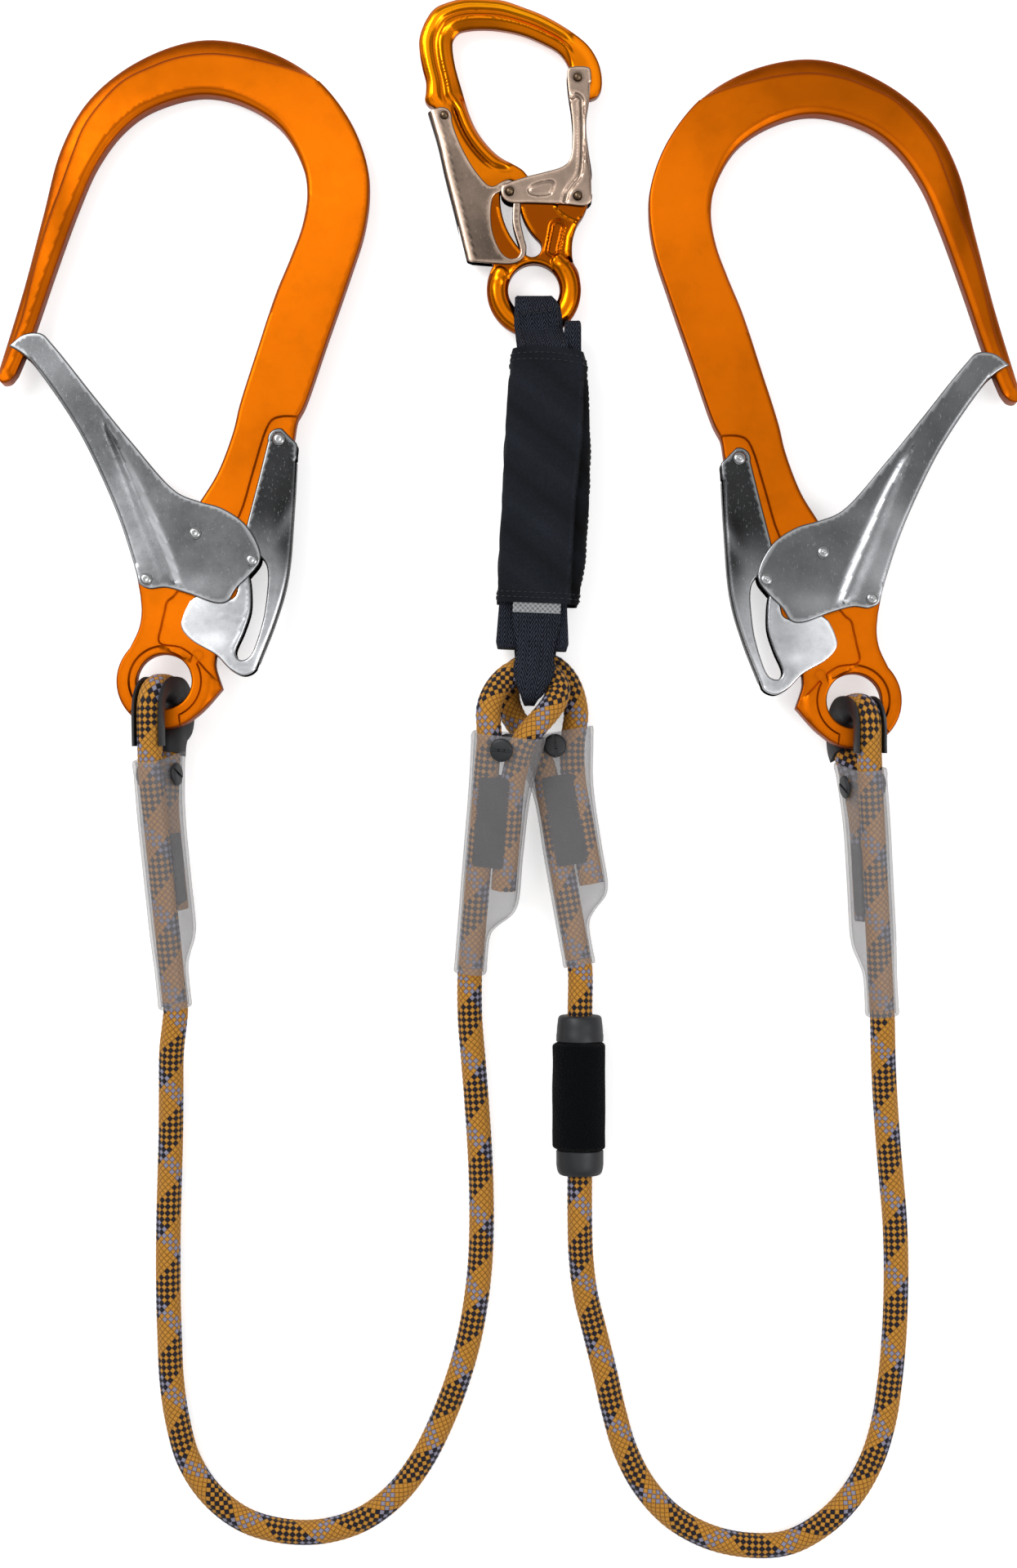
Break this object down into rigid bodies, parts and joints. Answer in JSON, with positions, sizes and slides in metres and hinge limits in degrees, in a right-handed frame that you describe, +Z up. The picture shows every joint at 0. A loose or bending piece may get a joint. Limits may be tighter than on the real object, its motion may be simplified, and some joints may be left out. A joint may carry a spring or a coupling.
{
  "type": "twin shock-absorbing lanyard",
  "caption": "Forked fall-arrest lanyard laid flat: braided rope legs with large double-action hooks, a covered webbing absorber and a captive-eye double-action connector.",
  "frame": {"origin": "middle of the box round the part without its two free ropes, on the surface the lanyard lies on", "axes": "+X to the right as seen from above, +Y along the lanyard towards the connector, +Z up from the surface"},
  "size_m": [0.498, 0.7628, 0.0444],
  "materials": {
    "hook_anodised": "satin orange anodised",
    "connector_anodised": "polished orange anodised",
    "steel": "satin zinc plated",
    "spring_steel": "drawn wire",
    "black_plastic": "moulded, fine grain",
    "frosted_plastic": "frosted translucent",
    "webbing": "woven tape",
    "cover_fabric": "plain woven",
    "white_tape": "woven tape",
    "rope": "braided kernmantle sheath",
    "stitching": "dense zigzag stitching",
    "loop_fabric": "loop pile"
  },
  "bodies": {
    "lanyard": {"left_thimble": "black_plastic", "left_hook_rope_loop": "rope", "left_hook_stitching": "stitching", "left_hook_sleeve": "frosted_plastic", "left_hook_sleeve_screw": "black_plastic", "left_hook_sleeve_screw_cap": "black_plastic", "left_centre_rope_loop": "rope", "left_centre_stitching": "stitching", "left_centre_sleeve": "frosted_plastic", "left_centre_sleeve_screw": "black_plastic", "left_centre_sleeve_screw_cap": "black_plastic", "left_rope": "rope", "right_thimble": "black_plastic", "right_hook_rope_loop": "rope", "right_hook_stitching": "stitching", "right_hook_sleeve": "frosted_plastic", "right_hook_sleeve_screw": "black_plastic", "right_hook_sleeve_screw_cap": "black_plastic", "right_centre_rope_loop": "rope", "right_centre_stitching": "stitching", "right_centre_sleeve": "frosted_plastic", "right_centre_sleeve_screw": "black_plastic", "right_centre_sleeve_screw_cap": "black_plastic", "right_rope": "rope", "absorber_cover": "cover_fabric", "absorber_pack": "webbing", "absorber_top_strap": "webbing", "absorber_lower_strap": "webbing", "absorber_white_tape": "white_tape"},
    "connector": {"connector_body": "connector_anodised", "connector_gate_rivet": "steel", "connector_lever_rivet": "steel", "connector_gate_spring": "spring_steel", "connector_lever_spring": "spring_steel"},
    "connector_gate": {"connector_gate": "steel", "connector_guide_rivet": "steel", "connector_nose_rivet": "steel"},
    "connector_lever": {"connector_lever": "steel"},
    "grip": {"grip_tube": "black_plastic", "grip_upper_collar": "black_plastic", "grip_lower_collar": "black_plastic", "grip_band": "loop_fabric"},
    "left_hook": {"left_hook_body": "hook_anodised", "left_hook_gate_rivet": "steel", "left_hook_lever_rivet": "steel", "left_hook_gate_spring": "spring_steel", "left_hook_lever_spring": "spring_steel"},
    "left_gate": {"left_hook_gate": "steel", "left_hook_guide_rivet": "steel", "left_hook_spacer_rivet": "steel"},
    "left_lever": {"left_hook_lever": "steel"},
    "right_hook": {"right_hook_body": "hook_anodised", "right_hook_gate_rivet": "steel", "right_hook_lever_rivet": "steel", "right_hook_gate_spring": "spring_steel", "right_hook_lever_spring": "spring_steel"},
    "right_gate": {"right_hook_gate": "steel", "right_hook_guide_rivet": "steel", "right_hook_spacer_rivet": "steel"},
    "right_lever": {"right_hook_lever": "steel"}
  },
  "joints": [
    {"name": "connector_swing", "type": "hinge", "parent": "lanyard", "child": "connector", "pos_m": [0.0122, 0.145, 0.0096], "axis": [0, 0, 1], "range_deg": [-12, 12]},
    {"name": "connector_gate_hinge", "type": "hinge", "parent": "connector", "child": "connector_gate", "pos_m": [0.0336, 0.1902, 0.0096], "axis": [0, 0, 1], "range_deg": [0, 48], "stiffness_Nm_per_rad": 0.08, "springref_deg": -22.92},
    {"name": "connector_lever_hinge", "type": "hinge", "parent": "connector", "child": "connector_lever", "pos_m": [-0.0314, 0.2298, 0.0096], "axis": [0, 0, 1], "range_deg": [0, 6.05]},
    {"name": "left_hook_swing", "type": "hinge", "parent": "lanyard", "child": "left_hook", "pos_m": [-0.1669, -0.0468, 0.0207], "axis": [0, 0.0469, 0.9989], "range_deg": [-2, 90]},
    {"name": "left_gate_hinge", "type": "hinge", "parent": "left_hook", "child": "left_gate", "pos_m": [-0.1756, 0.00235, 0.01839], "axis": [0, -0.0469, -0.9989], "range_deg": [0, 50], "stiffness_Nm_per_rad": 0.15, "springref_deg": -20.05},
    {"name": "left_lever_hinge", "type": "hinge", "parent": "left_hook", "child": "left_lever", "pos_m": [-0.1116, 0.07067, 0.01519], "axis": [0, -0.0469, -0.9989], "range_deg": [0, 4.8]},
    {"name": "right_hook_swing", "type": "hinge", "parent": "lanyard", "child": "right_hook", "pos_m": [0.1671, -0.0562, 0.0207], "axis": [0, -0.0469, -0.9989], "range_deg": [-2, 90]},
    {"name": "right_gate_hinge", "type": "hinge", "parent": "right_hook", "child": "right_gate", "pos_m": [0.1758, -0.00705, 0.01839], "axis": [0, 0.0469, 0.9989], "range_deg": [0, 50], "stiffness_Nm_per_rad": 0.15, "springref_deg": -20.05},
    {"name": "right_lever_hinge", "type": "hinge", "parent": "right_hook", "child": "right_lever", "pos_m": [0.1118, 0.06127, 0.01519], "axis": [0, 0.0469, 0.9989], "range_deg": [0, 4.8]},
    {"name": "grip_slide", "type": "slide", "parent": "lanyard", "child": "grip", "axis": [0, 1, 0], "range_m": [-0.02, 0.003]}
  ],
  "couplings": [
    {"joint": "connector_lever_hinge", "follows": "connector_gate_hinge", "ratio": 0.126},
    {"joint": "left_lever_hinge", "follows": "left_gate_hinge", "ratio": 0.096},
    {"joint": "right_lever_hinge", "follows": "right_gate_hinge", "ratio": 0.096}
  ]
}
